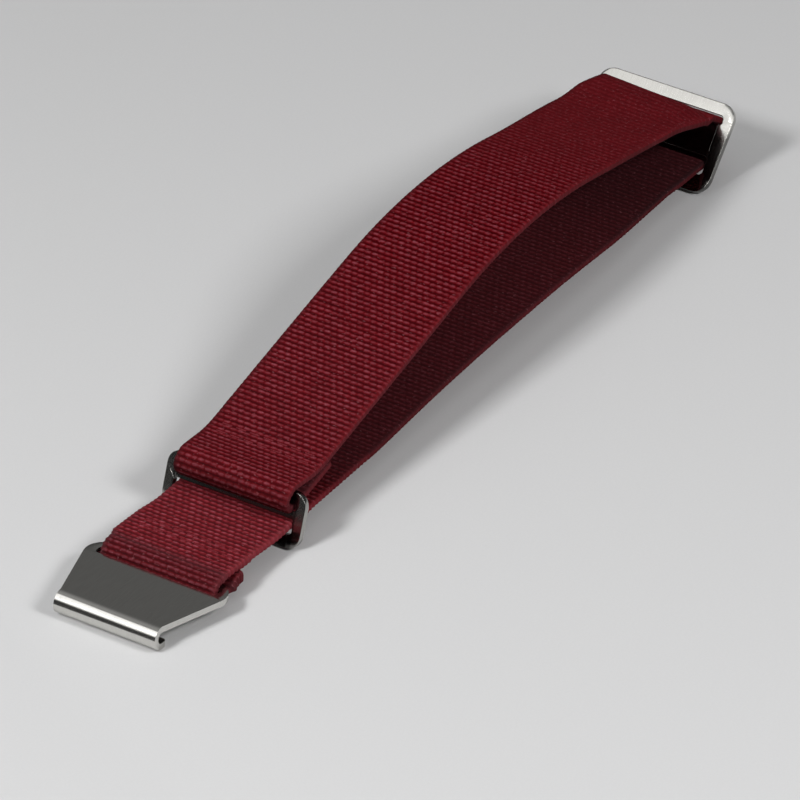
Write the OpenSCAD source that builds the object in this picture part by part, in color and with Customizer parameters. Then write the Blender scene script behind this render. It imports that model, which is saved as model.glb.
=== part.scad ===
// Stretch watch band: one strip of elastic webbing, a hook plate, a slider and a far buckle
// Lengths are in millimetres and angles in degrees
// X runs from the hook to the far buckle, Y across the band, Z up from the surface it stands on

/* [Webbing] */
// Width of the webbing, which is the lug width of the watch
band_w = 20; // [14:0.5:24]
// Thickness of the webbing
band_t = 1.2; // [0.8:0.1:1.5]
// Distance from the hook's rear bar to the slider's foot
front_l = 17; // [15:0.5:30]
// Distance from the slider's foot to the far buckle's foot
loop_l = 114; // [90:1:150]
// Length of webbing sewn back under itself at each end
tail_l = 9; // [7:0.5:10]
// Height at which the upper run's two straight stretches would meet
crown_h = 22.4; // [18:0.2:30]
// Radius of the bend at the crown of the upper run
crown_r = 90; // [40:5:110]
// Share of the loop's length at which the crown stands
crown_at = 0.58; // [0.45:0.01:0.65]
// Height at which the lower run's two rising stretches would meet
sag_h = 6; // [4.6:0.1:8]
// Height of the lower run in front of the far buckle
low_end_h = 3.75; // [3.4:0.05:4]

/* [Steel] */
// Thickness of the sheet that all three plates are cut from
steel_t = 1; // [0.8:0.1:1.2]
// Length of each slot beyond the width of the webbing
slot_spare = 0.8; // [0.4:0.1:2]
// Radius in the corners of the slots
slot_r = 0.6; // [0.3:0.1:0.8]

/* [Hook plate] */
// Width across the rear corners
hook_rear_w = 26.2; // [25:0.1:34]
// Width of the rolled front
hook_front_w = 17.5; // [12:0.5:22]
// Distance from the rear bar's centre to the centre of the roll
hook_l = 13.4; // [10:0.2:20]
// Width of the rear bar
hook_bar = 1.6; // [1.2:0.1:2]
// Width of the slot in front of the rear bar
hook_slot = 1.7; // [1.6:0.1:2.4]
// Inner radius of the roll
hook_roll_r = 0.9; // [0.7:0.1:1.4]
// Length of the lip that turns back under the plate
hook_lip = 1.2; // [1:0.2:4]
// Radius of the rear corners
hook_corner_r = 3; // [1:0.25:4]
// Angle by which the plate falls towards its rear
hook_pitch = 2.7; // [0:0.1:4]

/* [Slider] */
// Width across both ends
slider_w = 24; // [23.5:0.5:30]
// Angle between the slider and the surface it stands on
slider_tilt = 70; // [68:1:90]
// Width of the bottom bar
slider_foot_bar = 2.05; // [1.4:0.05:3]
// Width of the lower slot, which the single layer of webbing runs through
slider_low_slot = 2.5; // [2.3:0.05:3.2]
// Width of the middle bar
slider_mid_bar = 1; // [0.8:0.1:2]
// Width of the upper slot beyond the webbing's thickness
slider_slot_play = 0.3; // [0.2:0.05:1.8]
// Width of the top bar, which the sewn end loops round
slider_top_bar = 1.6; // [1.2:0.05:2]
// Radius of the corners
slider_r = 2.2; // [1:0.1:3]

/* [Far buckle] */
// Width across both ends
buckle_w = 24.5; // [24:0.5:30]
// Angle between the far buckle and the surface it stands on
buckle_tilt = 47; // [42:1:55]
// Width of the bottom bar
buckle_foot_bar = 2.9; // [2:0.1:3.2]
// Width of the lower slot
buckle_low_slot = 3; // [2.8:0.1:3.6]
// Width of the middle bar, which the webbing turns round
buckle_mid_bar = 5.3; // [4.8:0.1:6]
// Width of the upper slot beyond the webbing's thickness
buckle_slot_play = 0.3; // [0.25:0.05:1.5]
// Width of the top bar, which the hook grips
buckle_top_bar = 2; // [1.2:0.1:2.4]
// Radius of the corners
buckle_r = 2.6; // [1:0.1:3.5]

/* [Fits] */
// Gap between a bar and the webbing that turns round it
bar_gap = 0.05; // [0.02:0.01:0.15]
// Gap between the far buckle's middle bar and the webbing
loop_gap = 0.15; // [0.05:0.05:0.2]
// Gap between the two layers of a sewn end
seam_gap = 0.1; // [0.05:0.01:0.2]
// Gap between the running layer and the slider's middle bar
run_gap = 0.12; // [0.05:0.01:0.2]
// Distance that the front of the band can be pushed in through the slider
slide_in = 5; // [0:0.5:5]
// Distance that the front of the band can be pulled out through the slider
slide_out = 20; // [5:1:24]

/* [Stitching] */
// Thickness of the sewing thread
thread_d = 0.3; // [0.2:0.05:0.4]
// Length of one stitch
stitch_l = 1.7; // [1:0.1:2.5]
// Distance from one stitch to the next
stitch_pitch = 2.4; // [2:0.1:3.5]
// Distance between the two rows of stitches
row_pitch = 2.4; // [1.5:0.1:3]
// Distance from the last row to the cut end of the webbing
hem = 1.4; // [1:0.1:2]

/* [Hidden] */
STEEL = [0.74, 0.74, 0.72];
WEBBING = [0.40, 0.06, 0.10];
THREAD = [0.47, 0.09, 0.13];
// Largest turn in one facet of a bend in the webbing
FACET = 6;
$fn = 48;

slot_l = band_w + slot_spare;

// Radius of the webbing's middle line where it turns round a flat bar
function turn_r(bar, gap) = norm([bar, steel_t]) / 2 + gap + band_t / 2;
function polar(centre, r, a) = centre + r * [cos(a), sin(a)];
function unit(v) = v / norm(v);
function heading(v) = atan2(v.y, v.x);

// Point where the line through p along u meets the line through q along v
function meet(p, u, q, v) = p + u * cross(q - p, v) / cross(u, v);

function arc(centre, r, a0, a1) = let(n = ceil(abs(a1 - a0) / FACET))
    [for (i = [0:n]) polar(centre, r, a0 + (a1 - a0) * i / n)];

// Round stretch of radius r that replaces the corner at b on the way from a to c
function fillet(a, b, c, r) = let(
        u = unit(a - b), v = unit(c - b), half = acos(u * v) / 2,
        centre = b + unit(u + v) * r / sin(half),
        a0 = heading(b + u * r / tan(half) - centre),
        turn = sign(cross(b - a, c - b)) * (180 - 2 * half),
        n = max(2, ceil(abs(turn) / FACET * 2)))
    [for (i = [0:n]) polar(centre, r, a0 + turn * i / n)];

// Slider: foot of the plate's middle plane, and the centre of the top bar
slider_high_slot = band_t + slider_slot_play;
slider_h = slider_foot_bar + slider_low_slot + slider_mid_bar + slider_high_slot + slider_top_bar;
slider_up = [cos(slider_tilt), sin(slider_tilt)];
slider_foot = [0, steel_t / 2 * cos(slider_tilt)];
slider_axis_s = slider_h - slider_top_bar / 2;
slider_axis = slider_foot + slider_up * slider_axis_s;

// Far buckle: foot of the plate's middle plane, and the centre of the middle bar
buckle_high_slot = band_t + buckle_slot_play;
buckle_h = buckle_foot_bar + buckle_low_slot + buckle_mid_bar + buckle_high_slot + buckle_top_bar;
buckle_up = [cos(buckle_tilt), sin(buckle_tilt)];
buckle_foot = [loop_l, steel_t / 2 * cos(buckle_tilt)];
buckle_axis_s = buckle_foot_bar + buckle_low_slot + buckle_mid_bar / 2;
buckle_axis = buckle_foot + buckle_up * buckle_axis_s;

// Hook: the rear bar's centre, and the roll's centre seen from it, before the plate is pitched
hook_outer_r = hook_roll_r + steel_t;
roll_drop = hook_roll_r + steel_t / 2;
lip_end = [hook_lip - hook_l, -roll_drop - hook_outer_r];
hook_axis = [-front_l, lip_end.x * sin(hook_pitch) - lip_end.y * cos(hook_pitch)];
hook_front_x = -front_l - hook_l * cos(hook_pitch) - roll_drop * sin(hook_pitch) - hook_outer_r;

// Front of the band: fold round the hook's rear bar, then a straight way down to the level run
level_spare = 1;
front_bend_r = 20;
hook_turn_r = turn_r(hook_bar, bar_gap);
run_h = slider_foot.y + slider_up.y * (slider_foot_bar + slider_low_slot)
    - slider_up.x * steel_t / 2 - run_gap - band_t / 2;
level_start = [-slide_in - level_spare, run_h];
level_end = [slide_out + 2 * level_spare, run_h];
front_fall = asin(hook_turn_r / norm(level_start - hook_axis)) - heading(level_start - hook_axis);
front_dir = [cos(front_fall), -sin(front_fall)];
front_left = polar(hook_axis, hook_turn_r, 90 - front_fall);
front_under = front_left - (band_t + seam_gap) * [-front_dir.y, front_dir.x];
// Where the sewn-back end leaves the fold, counted from level, and how it climbs to its seam
climb = 30;
climb_dir = [cos(climb), sin(climb)];
climb_start = polar(hook_axis, hook_turn_r, 270 + climb);
climb_top = meet(climb_start, climb_dir, front_under, front_dir);
hook_tail_end = front_under + front_dir * tail_l;

// Upper run: fold round the slider's top bar, a dip over the seam, the crown, and the shoulder
slider_turn_r = turn_r(slider_top_bar, bar_gap);
crown = [loop_l * crown_at, crown_h];
crown_arm = crown - slider_axis;
rise = heading(crown_arm) + asin((slider_turn_r - band_t - seam_gap) / norm(crown_arm));
rise_dir = [cos(rise), sin(rise)];
rise_normal = [-sin(rise), cos(rise)];
dip = 5;
dip_r = 14;
dip_start = polar(slider_axis, slider_turn_r, 90 - dip);
dip_low = meet(dip_start, [cos(dip), -sin(dip)], crown, rise_dir);
slider_tail_start = polar(slider_axis, slider_turn_r, 270 + rise);
slider_tail_end = slider_tail_start + rise_dir * tail_l;
seam_end = slider_tail_end + rise_normal * (band_t + seam_gap) + rise_dir * hem;

// Turn round the far buckle's middle bar: where the two runs leave it, and how far they go straight
buckle_turn_r = turn_r(buckle_mid_bar, loop_gap);
shoulder_a = 60;
shoulder_l = 3.9;
shoulder_r = 6;
shoulder_start = polar(buckle_axis, buckle_turn_r, shoulder_a);
shoulder = shoulder_start + shoulder_l * [-sin(shoulder_a), cos(shoulder_a)];
return_a = 245;
return_r = 1.6;
return_start = polar(buckle_axis, buckle_turn_r, return_a);
return_dir = [sin(return_a), -cos(return_a)];
low_end = meet(return_start, return_dir, [0, low_end_h], [1, 0]);

// Lower run: level beside the slider and the far buckle, and a little arched between them
sag_r = 250;
sag_end_r = 60;
sag_lead = 10;
sag_top = [crown.x, sag_h];
sag_start = level_end + [sag_lead / 4, 0];
sag_end = [loop_l - sag_lead, low_end_h];

// Half-way between the two ends of the whole band
mid_x = (hook_front_x + max(buckle_foot.x + buckle_h * buckle_up.x + steel_t / 2 * buckle_up.y,
    buckle_axis.x + buckle_turn_r + band_t / 2)) / 2;

// Convex outline with each corner [x, y, r] rounded by its own radius
module rounded(corners) {
    n = len(corners);
    cut = [for (i = [0:n - 1]) let(
            b = [corners[i].x, corners[i].y], r = corners[i][2],
            a = [corners[(i + n - 1) % n].x, corners[(i + n - 1) % n].y],
            c = [corners[(i + 1) % n].x, corners[(i + 1) % n].y],
            u = unit(a - b), v = unit(c - b), half = acos(u * v) / 2)
        [b + u * r / tan(half), b + v * r / tan(half), b + unit(u + v) * r / sin(half), r]];
    polygon([for (k = cut) each [k[0], k[1]]]);
    for (k = cut) {
        if (k[3] > 0) translate(k[2]) circle(r = k[3]);
    }
}

// Slot from s0 to s1 along the plate, as long as the webbing needs
module slot(s0, s1) {
    rounded([[s0, -slot_l / 2, slot_r], [s1, -slot_l / 2, slot_r],
        [s1, slot_l / 2, slot_r], [s0, slot_l / 2, slot_r]]);
}

// Flat steel frame with two slots, lying along X from its foot, in its own middle plane
module slotted_plate(w, h, r, foot_bar, low_slot, mid_bar, high_slot) {
    linear_extrude(steel_t, center = true) difference() {
        rounded([[0, -w / 2, r], [h, -w / 2, r], [h, w / 2, r], [0, w / 2, r]]);
        slot(foot_bar, foot_bar + low_slot);
        slot(foot_bar + low_slot + mid_bar, foot_bar + low_slot + mid_bar + high_slot);
    }
}

// Puts a point [x, z] of the side view in its place in the whole band
module place(p) {
    translate([p.x - mid_x, 0, p.y]) children();
}

// Webbing whose middle line is a list of points of the side view, cut square at both ends
// The way that it runs in and out is that of its first and last stretch, unless it is given
module webbing(line, way_in, way_out) {
    n = len(line);
    way = [
        is_undef(way_in) ? line[1] - line[0] : way_in,
        for (i = [1:n - 2]) line[i + 1] - line[i - 1],
        is_undef(way_out) ? line[n - 1] - line[n - 2] : way_out];
    normal = [for (w = way) unit([-w.y, w.x])];
    above = [for (i = [0:n - 1]) line[i] + normal[i] * band_t / 2];
    below = [for (i = [n - 1:-1:0]) line[i] - normal[i] * band_t / 2];
    place([0, 0]) rotate([90, 0, 0]) linear_extrude(band_w, center = true) polygon(concat(above, below));
}

// Thread of one stitch, a closed loop round both layers, along Y and centred between them
module stitch(depth) {
    for (side = [-1, 1]) {
        translate([0, 0, side * (depth + thread_d) / 2]) rotate([90, 0, 0])
            cylinder(d = thread_d, h = stitch_l, center = true, $fn = 8);
        translate([0, side * (stitch_l - thread_d) / 2, 0])
            cylinder(d = thread_d, h = depth + thread_d, center = true, $fn = 8);
    }
}

// Two rows of stitches across the webbing; origin and dir give the seam's middle line at its hem
module stitching(end, dir) {
    count = floor((band_w - 2 * hem - stitch_l) / stitch_pitch);
    for (row = [0, 1], i = [0:count]) {
        place(end - dir * (hem + row * row_pitch)) rotate([0, -heading(dir), 0])
            translate([0, (i - count / 2) * stitch_pitch, 0]) stitch(2 * band_t + seam_gap);
    }
}

// Stamped plate that tapers forward from its slotted rear and is rolled under at the front
module hook_plate() {
    half = hook_rear_w / 2;
    rear = hook_bar / 2;
    color(STEEL) place(hook_axis) rotate([0, hook_pitch, 0]) {
        linear_extrude(steel_t, center = true) difference() {
            rounded([[rear, -half, hook_corner_r], [rear, half, hook_corner_r],
                [-hook_l, hook_front_w / 2, 0], [-hook_l, -hook_front_w / 2, 0]]);
            slot(-rear - hook_slot, -rear);
        }
        translate([-hook_l, 0, -roll_drop]) {
            rotate([90, 0, 0]) linear_extrude(hook_front_w, center = true) difference() {
                circle(r = hook_outer_r);
                circle(r = hook_roll_r);
                translate([0, -2 * hook_outer_r]) square(4 * hook_outer_r);
            }
            translate([0, 0, -roll_drop]) linear_extrude(steel_t, center = true)
                rounded([[0, -hook_front_w / 2, 0], [hook_lip, -hook_front_w / 2, slot_r],
                    [hook_lip, hook_front_w / 2, slot_r], [0, hook_front_w / 2, 0]]);
        }
    }
}

// Three-bar slide: the sewn end hangs on the top bar, the running layer passes the lower slot
module slider_frame() {
    color(STEEL) place(slider_foot) rotate([0, -slider_tilt, 0])
        slotted_plate(slider_w, slider_h, slider_r, slider_foot_bar, slider_low_slot,
            slider_mid_bar, slider_high_slot);
}

// Plate at the far end: the webbing turns round the middle bar, the hook grips the top bar
module far_buckle() {
    color(STEEL) place(buckle_foot) rotate([0, -buckle_tilt, 0])
        slotted_plate(buckle_w, buckle_h, buckle_r, buckle_foot_bar, buckle_low_slot,
            buckle_mid_bar, buckle_high_slot);
}

// Sewn fold round the hook's rear bar and the single layer that runs through the slider
module front_band() {
    color(WEBBING) webbing(concat(
        [hook_tail_end],
        fillet(hook_tail_end, climb_top, climb_start, 1.5 * band_t),
        arc(hook_axis, hook_turn_r, 270 + climb, 90 - front_fall),
        fillet(front_left, level_start, level_end, front_bend_r),
        [level_end]));
}

// Single layer of webbing from behind the slider to the far buckle
module lower_run() {
    color(WEBBING) webbing(concat(
        [level_end],
        fillet(level_end, sag_start, sag_top, sag_end_r / 2),
        fillet(sag_start, sag_top, sag_end, sag_r),
        fillet(sag_top, sag_end, low_end, sag_end_r),
        fillet(sag_end, low_end, return_start, return_r),
        [return_start]));
}

// Layer that rises from the seam behind the slider over the crown to the far buckle
module upper_run() {
    color(WEBBING) webbing(concat(
        [seam_end],
        fillet(seam_end, crown, shoulder, crown_r),
        fillet(crown, shoulder, shoulder_start, shoulder_r),
        [shoulder_start]));
}

// Sewn end that loops round the slider's top bar and lies under the upper run
module slider_loop() {
    color(WEBBING) webbing(concat(
        [slider_tail_end],
        arc(slider_axis, slider_turn_r, 270 + rise, 90 - dip),
        fillet(dip_start, dip_low, crown, dip_r),
        [seam_end]));
}

// Turn of the webbing round the far buckle's middle bar
module buckle_loop() {
    color(WEBBING) webbing(arc(buckle_axis, buckle_turn_r, shoulder_a, return_a - 360),
        shoulder_start - shoulder, low_end - return_start);
}

module hook_stitching() {
    color(THREAD) stitching(hook_tail_end + [-front_dir.y, front_dir.x] * (band_t + seam_gap) / 2,
        front_dir);
}

module slider_stitching() {
    color(THREAD) stitching(slider_tail_end + rise_normal * (band_t + seam_gap) / 2, rise_dir);
}

hook_plate();
slider_frame();
far_buckle();
front_band();
lower_run();
upper_run();
slider_loop();
buckle_loop();
hook_stitching();
slider_stitching();
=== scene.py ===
"""Looks of a stretch watch band: woven elastic webbing, three steel plates, a pale floor and soft light.

The band's own lengths are in millimetres, and those of the camera, lamps, flag and floor in metres. In
the side view x runs from the slider's foot towards the far buckle, and across the webbing y runs from
its right edge to its left.
"""

import math

import bpy
import numpy as np
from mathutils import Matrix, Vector


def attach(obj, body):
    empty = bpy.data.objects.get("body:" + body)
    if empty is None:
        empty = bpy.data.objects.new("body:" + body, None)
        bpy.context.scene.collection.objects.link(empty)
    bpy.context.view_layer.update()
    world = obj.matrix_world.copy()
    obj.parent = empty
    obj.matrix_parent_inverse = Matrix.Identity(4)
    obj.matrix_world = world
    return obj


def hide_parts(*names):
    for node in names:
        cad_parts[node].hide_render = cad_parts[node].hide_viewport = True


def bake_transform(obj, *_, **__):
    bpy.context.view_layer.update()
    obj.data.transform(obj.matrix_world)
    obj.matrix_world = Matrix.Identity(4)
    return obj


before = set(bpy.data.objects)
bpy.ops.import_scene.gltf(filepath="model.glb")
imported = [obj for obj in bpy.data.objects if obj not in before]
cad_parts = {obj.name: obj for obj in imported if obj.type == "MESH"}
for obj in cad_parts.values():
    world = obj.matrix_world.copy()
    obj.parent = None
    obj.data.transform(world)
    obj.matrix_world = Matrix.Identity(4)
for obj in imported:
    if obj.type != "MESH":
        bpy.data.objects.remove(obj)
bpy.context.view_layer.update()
MM = 0.001

# Webbing, and its sewn ends
BAND_W = 20.0
BAND_T = 1.2
CORNER_R = 0.36
TAIL_L = 9.0
SEAM_GAP = 0.1
HEM = 1.4

# Steel plates, and the bars and slots of the two standing ones from the foot up
STEEL_T = 1.0
HOOK_L = 13.4
HOOK_BAR = 1.6
HOOK_ROLL_R = 0.9
HOOK_LIP = 1.2
HOOK_PITCH = 2.7
SLIDER_TILT = 70.0
SLIDER_BARS = (2.05, 2.5, 1.0, 1.5, 1.6)
BUCKLE_TILT = 47.0
BUCKLE_BARS = (2.9, 3.0, 5.3, 1.5, 2.0)

# Clearance at the hook's and slider's bars, at the buckle's bar, and under the slider's middle bar
BAR_GAP = 0.05
LOOP_GAP = 0.15
RUN_GAP = 0.12

# Path of the webbing: from the slider to the hook's bar and to the buckle's foot
FRONT_L = 17.0
LOOP_L = 114.0

# It is level where the slide feeds it through the slider, and a little farther
SLIDE_IN = 5.0
SLIDE_OUT = 20.0
LEVEL_SPARE_FRONT = 1.0
LEVEL_SPARE_REAR = 2.0
LEVEL_R = 20

# The sewn end climbs from the hook's bar to the layer above it
CLIMB = 30
CLIMB_R = 1.5 * BAND_T

# The lower run rises to a low hump before it comes back to the floor at the buckle
SAG_H = 6.0
SAG_LEAD = 10
SAG_START_R = 30
SAG_R = 250
SAG_END_R = 60
LOW_END_H = 3.75

# The turn at the buckle comes in at one angle round its bar, and leaves at another into the shoulder
RETURN_A = 245
RETURN_R = 1.6
SHOULDER_A = 60
SHOULDER_L = 3.9
SHOULDER_R = 15

# The upper run goes over the crown and dips before the fold at the slider
CROWN_SHARE = 0.58
CROWN_H = 22.4
CROWN = np.array([LOOP_L * CROWN_SHARE, CROWN_H])
CROWN_R = 90.0
DIP = 5
DIP_R = 14

FINEST_TURN = 1.5
SAME_PLACE = 1e-6


def direction(a):
    return np.array([math.cos(math.radians(a)), math.sin(math.radians(a))])


def polar(centre, r, a):
    return np.array(centre) + r * direction(a)


def unit(v):
    return np.array(v) / np.linalg.norm(v)


def left_of(v):
    return np.array([-v[1], v[0]])


def cross(u, v):
    return u[0] * v[1] - u[1] * v[0]


def heading(v):
    return math.degrees(math.atan2(v[1], v[0]))


def meet(p, u, q, v):
    """Point where the line through p along u meets the line through q along v."""
    return p + u * cross(q - p, v) / cross(u, v)


def arc(centre, r, a0, a1):
    count = math.ceil(abs(a1 - a0) / FINEST_TURN)
    return [polar(centre, r, a0 + (a1 - a0) * i / count) for i in range(count + 1)]


def fillet(a, b, c, r):
    """Round stretch of radius r that replaces the corner at b on the way from a to c."""
    u, v = unit(a - b), unit(c - b)
    half = math.acos(float(np.dot(u, v))) / 2
    centre = b + unit(u + v) * r / math.sin(half)
    start = heading(b + u * r / math.tan(half) - centre)
    turn = math.copysign(180 - 2 * math.degrees(half), cross(b - a, c - b))
    count = max(2, math.ceil(abs(turn) / FINEST_TURN))
    return [polar(centre, r, start + turn * i / count) for i in range(count + 1)]


def turn_r(bar, gap):
    """Radius of the webbing's middle line where it turns round a flat bar."""
    return math.hypot(bar, STEEL_T) / 2 + gap + BAND_T / 2


def plate_point(foot_x, tilt, s):
    """Point of a standing plate's middle plane, at a distance s up from its foot."""
    foot = np.array([foot_x, STEEL_T / 2 * math.cos(math.radians(tilt))])
    return foot + s * direction(tilt)


def hook_place():
    """Axis of the hook's rear bar, and the x of the hook's front, when it lies on the floor."""
    roll_drop = HOOK_ROLL_R + STEEL_T / 2
    outer_r = HOOK_ROLL_R + STEEL_T
    pitch = math.radians(HOOK_PITCH)
    height = (HOOK_LIP - HOOK_L) * math.sin(pitch) + (roll_drop + outer_r) * math.cos(pitch)
    front_x = -FRONT_L - HOOK_L * math.cos(pitch) - roll_drop * math.sin(pitch) - outer_r
    return np.array([-FRONT_L, height]), front_x


HOOK_AXIS, HOOK_FRONT_X = hook_place()
SLIDER_AXIS = plate_point(0, SLIDER_TILT, sum(SLIDER_BARS) - SLIDER_BARS[4] / 2)
BUCKLE_AXIS = plate_point(LOOP_L, BUCKLE_TILT, sum(BUCKLE_BARS[:2]) + BUCKLE_BARS[2] / 2)
HOOK_R = turn_r(HOOK_BAR, BAR_GAP)
SLIDER_R = turn_r(SLIDER_BARS[4], BAR_GAP)
BUCKLE_R = turn_r(BUCKLE_BARS[2], LOOP_GAP)


def level_ends():
    """Ends of the level stretch that passes under the slider's middle bar."""
    bar_foot = plate_point(0, SLIDER_TILT, sum(SLIDER_BARS[:2]))
    height = bar_foot[1] - direction(SLIDER_TILT)[0] * STEEL_T / 2 - RUN_GAP - BAND_T / 2
    start_x, end_x = -SLIDE_IN - LEVEL_SPARE_FRONT, SLIDE_OUT + LEVEL_SPARE_REAR
    return np.array([start_x, height]), np.array([end_x, height])


def front_stretch(level_start, level_end):
    """From the sewn end under the front band, round the hook's bar and back through the slider."""
    to_level = level_start - HOOK_AXIS
    fall = math.degrees(math.asin(HOOK_R / np.linalg.norm(to_level))) - heading(to_level)
    way = direction(-fall)
    off_bar = polar(HOOK_AXIS, HOOK_R, 90 - fall)
    under = off_bar - (BAND_T + SEAM_GAP) * left_of(way)
    tail_end = under + way * TAIL_L
    climb_start = polar(HOOK_AXIS, HOOK_R, 270 + CLIMB)
    climb_top = meet(climb_start, direction(CLIMB), under, way)
    return ([tail_end] + fillet(tail_end, climb_top, climb_start, CLIMB_R)
            + arc(HOOK_AXIS, HOOK_R, 270 + CLIMB, 90 - fall)
            + fillet(off_bar, level_start, level_end, LEVEL_R) + [level_end])


def lower_stretch(level_end):
    """From the slider along the floor to the buckle's bar."""
    sag_start = level_end + np.array([SAG_LEAD / 4, 0])
    sag_top = np.array([CROWN[0], SAG_H])
    sag_end = np.array([LOOP_L - SAG_LEAD, LOW_END_H])
    on_bar = polar(BUCKLE_AXIS, BUCKLE_R, RETURN_A)
    low_end = meet(on_bar, direction(RETURN_A - 90), np.array([0, LOW_END_H]), np.array([1.0, 0]))
    return (fillet(level_end, sag_start, sag_top, SAG_START_R) + fillet(sag_start, sag_top, sag_end, SAG_R)
            + fillet(sag_top, sag_end, low_end, SAG_END_R) + fillet(sag_end, low_end, on_bar, RETURN_R)
            + [on_bar])


def upper_stretches():
    """From the buckle's bar over the crown to the seam, and from there round the slider's top bar."""
    crown_arm = CROWN - SLIDER_AXIS
    inner_r = SLIDER_R - BAND_T - SEAM_GAP
    rise = heading(crown_arm) + math.degrees(math.asin(inner_r / np.linalg.norm(crown_arm)))
    way = direction(rise)
    dip_start = polar(SLIDER_AXIS, SLIDER_R, 90 - DIP)
    dip_low = meet(dip_start, direction(-DIP), CROWN, way)
    tail_end = polar(SLIDER_AXIS, SLIDER_R, 270 + rise) + way * TAIL_L
    seam_end = tail_end + left_of(way) * (BAND_T + SEAM_GAP) + way * HEM
    off_bar = polar(BUCKLE_AXIS, BUCKLE_R, SHOULDER_A)
    shoulder = off_bar + SHOULDER_L * direction(SHOULDER_A + 90)
    upper = (fillet(off_bar, shoulder, CROWN, SHOULDER_R) + fillet(shoulder, CROWN, seam_end, CROWN_R)
             + [seam_end])
    fold = (fillet(CROWN, dip_low, dip_start, DIP_R)
            + arc(SLIDER_AXIS, SLIDER_R, 90 - DIP, 270 + rise) + [tail_end])
    return upper, fold


def side_view():
    """The five stretches of the webbing's middle line in the side view, in order."""
    level_start, level_end = level_ends()
    turn = arc(BUCKLE_AXIS, BUCKLE_R, RETURN_A - 360, SHOULDER_A)
    return [front_stretch(level_start, level_end), lower_stretch(level_end), turn, *upper_stretches()]


def middle_x():
    """Middle of the whole band's length, which the frame has at 0."""
    buckle_top = plate_point(LOOP_L, BUCKLE_TILT, sum(BUCKLE_BARS))
    steel_rear = buckle_top[0] + STEEL_T / 2 * math.sin(math.radians(BUCKLE_TILT))
    return (HOOK_FRONT_X + max(steel_rear, BUCKLE_AXIS[0] + BUCKLE_R + BAND_T / 2)) / 2


MID_X = middle_x()


def smooth(a, b, x):
    """Rises smoothly from 0 at a to 1 at b."""
    t = np.clip((x - a) / (b - a), 0, 1)
    return t * t * (3 - 2 * t)


def hump(edges, x):
    """Rises smoothly from 0 to 1 between the first two edges, and falls between the other two."""
    return smooth(*edges[:2], x) * (1 - smooth(*edges[2:], x))


def angles_round(centre, points):
    """Angles from 0 to 360 degrees at which points are seen from a centre."""
    arm = points - centre
    return np.degrees(np.arctan2(arm[:, 1], arm[:, 0])) % 360


# Slack of the fold at the slider and of the turn at the buckle: how far out, at which angles round
# the bar, and how far along the strip
FOLD_BULGE = 0.6
FOLD_BULGE_A = (125, 190, 225, 250)
FOLD_REACH = 11
BUCKLE_SINK = 0.3
BUCKLE_SINK_A = (195, 222, 240, 262)
BUCKLE_REACH = 6
RING_STEP = 0.15


def resample(points, step):
    """Distances along a line, evenly spaced by about one step, and the line's points there."""
    points = np.array(points)
    keep = np.concatenate([[True], np.linalg.norm(np.diff(points, axis=0), axis=1) > SAME_PLACE])
    points = points[keep]
    at = np.concatenate([[0], np.cumsum(np.linalg.norm(np.diff(points, axis=0), axis=1))])
    even = np.linspace(0, at[-1], round(at[-1] / step) + 1)
    return even, np.stack([np.interp(even, at, points[:, k]) for k in (0, 1)], 1)


def push_from(centre, line, edges, amount, where):
    """Pushes what is seen from a centre at a range of angles away from that centre."""
    arm = line - centre
    push = where * hump(edges, angles_round(centre, line))
    return line + (amount * push / np.linalg.norm(arm, axis=1))[:, None] * arm


def slacken(at, line, ends):
    """Lets the fold at the slider hang out over its bars, and the turn at the buckle hang down."""
    _, lower_end, _, upper_end, _ = ends
    at_fold = at > at[upper_end] - FOLD_REACH
    at_turn = np.abs(at - at[lower_end]) < BUCKLE_REACH
    line = push_from(SLIDER_AXIS, line, FOLD_BULGE_A, FOLD_BULGE, at_fold)
    return push_from(BUCKLE_AXIS, line, BUCKLE_SINK_A, BUCKLE_SINK, at_turn)


def whole_strip():
    """Distance, place, way and turn of every ring of the strip, and the ring where each stretch ends."""
    stretches = side_view()
    at, line = resample([p for stretch in stretches for p in stretch], RING_STEP)
    ends = [int(np.argmin(np.linalg.norm(line - stretch[-1], axis=1))) for stretch in stretches]
    ends[-1] = len(line) - 1
    line = slacken(at, line, ends)
    way = np.gradient(line, axis=0)
    way /= np.linalg.norm(way, axis=1)[:, None]
    turn = np.gradient(np.unwrap(np.arctan2(way[:, 1], way[:, 0])), at)
    return at, line, way, turn, ends


AT, LINE, WAY, TURN, (FRONT_END, LOWER_END, TURN_END, UPPER_END, LAST_RING) = whole_strip()
HOOK_FOLD = int(np.argmin(LINE[:FRONT_END, 0]))

# Weave: ribs across the band, each a row of short floats of yarn, wider apart where the band is stretched
RIB = 0.92
RIB_STRETCH = 0.25
STRETCHED_X = (30, 100)
LOWER_STRETCH = 0.5
FLOAT_PITCH = 1.15
FLOAT_HALF_L = 0.54
FLOAT_HALF_W = 0.38
FLOAT_SHARE = 0.66
FRONT_FLOAT_SHARE = 0.85
FOLD_FLOAT_SHARE = 0.5
FLOAT_LOUDNESS_RANGE = (0.76, 1.0)
FLOAT_WANDER = 0.04
TWIST = 0.05
WEAVE_SEED = 20
SPARE_ROWS = 4
SPARE_COLUMNS = 6


def stretch_at(x, upper):
    """How far the band is stretched at a place along it: 0 at the slider, 1 towards the far buckle."""
    return np.where(upper, 1.0, LOWER_STRETCH) * smooth(*STRETCHED_X, x)


def count_ribs():
    """Number of ribs from the strip's start to each ring, evenly spaced on the outside of each turn."""
    upper = np.arange(len(AT)) > LOWER_END
    pitch = RIB * (1 + RIB_STRETCH * stretch_at(LINE[:, 0], upper))
    outside = 1 + BAND_T / 2 * np.abs(TURN)
    return np.concatenate([[0], np.cumsum(np.diff(AT) * outside[1:] / pitch[1:])])


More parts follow.
